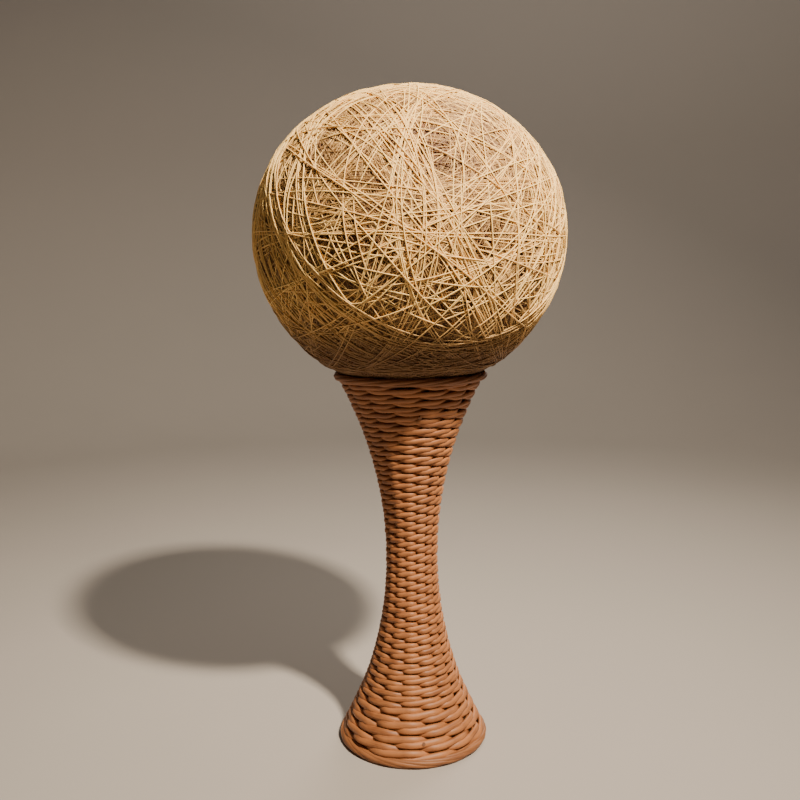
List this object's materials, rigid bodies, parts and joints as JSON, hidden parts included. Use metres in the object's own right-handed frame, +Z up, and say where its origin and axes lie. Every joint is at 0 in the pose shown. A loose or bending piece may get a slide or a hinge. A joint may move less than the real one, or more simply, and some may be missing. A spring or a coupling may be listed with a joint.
{
  "type": "table lamp",
  "caption": "Table lamp with a waisted stand of woven cane and a large ball shade of wound twine that lifts off its rim to reach the screw-in bulb.",
  "frame": {"origin": "centre of the foot, on the surface that the lamp stands on", "axes": "+Z up along the stand's axis, -Y towards the front, +X to the right seen from the front"},
  "size_m": [0.3199, 0.32, 0.694],
  "materials": {
    "cane_border": "dark varnished plaited cane",
    "cane_stake": "varnished cane rod",
    "cane_weave": "varnished woven cane, satin",
    "plywood": "raw birch plywood",
    "nail_steel": "browned wire nail",
    "bush_rubber": "dark brown rubber, matte",
    "zinc_steel": "zinc plated steel",
    "brass": "plain brass",
    "phenolic": "dark brown phenolic",
    "porcelain": "white glazed porcelain",
    "solder": "solder",
    "black_glass": "black glass insulator",
    "bulb_aluminium": "aluminium screw cap",
    "bulb_glass": "frosted bulb glass",
    "stem_glass": "clear glass",
    "filament_wire": "tungsten",
    "pale_twine": "glued pale twine",
    "brown_twine": "glued brown twine",
    "hoop_cane": "bent cane hoop"
  },
  "bodies": {
    "stand": {"foot_border": "cane_border", "rim_border": "cane_border", "stakes": "cane_stake", "lower_weave": "cane_weave", "upper_weave": "cane_weave", "base_board": "plywood", "holder_board": "plywood", "board_nails": "nail_steel", "cord_bush": "bush_rubber", "threaded_nipple": "zinc_steel", "nipple_washer": "zinc_steel", "nipple_nut": "brass", "holder_cap": "phenolic", "contact_block": "porcelain", "terminal_screws": "brass", "side_contact": "brass", "centre_contact": "brass", "screw_shell": "brass", "holder_sleeve": "phenolic"},
    "bulb_core": {"bulb_tip": "solder", "bulb_insulator": "black_glass"},
    "bulb": {"bulb_cap": "bulb_aluminium", "bulb_glass": "bulb_glass", "bulb_stem": "stem_glass", "filament": "filament_wire"},
    "shade": {"outer_winding": "pale_twine", "inner_winding": "brown_twine", "opening_hoop": "hoop_cane"}
  },
  "joints": [
    {"name": "shade_lift", "type": "slide", "parent": "stand", "child": "shade", "axis": [0, 0, 1], "range_m": [0, 0.15]},
    {"name": "bulb_rise", "type": "slide", "parent": "stand", "child": "bulb_core", "axis": [0, 0, 1], "range_m": [0, 0.0182]},
    {"name": "bulb_turn", "type": "hinge", "parent": "bulb_core", "child": "bulb", "pos_m": [0, 0, 0.4016], "axis": [0, 0, 1], "range_deg": [0, 1800]}
  ],
  "couplings": [
    {"joint": "bulb_rise", "follows": "bulb_turn", "m_per_rad": 0.00057757}
  ]
}
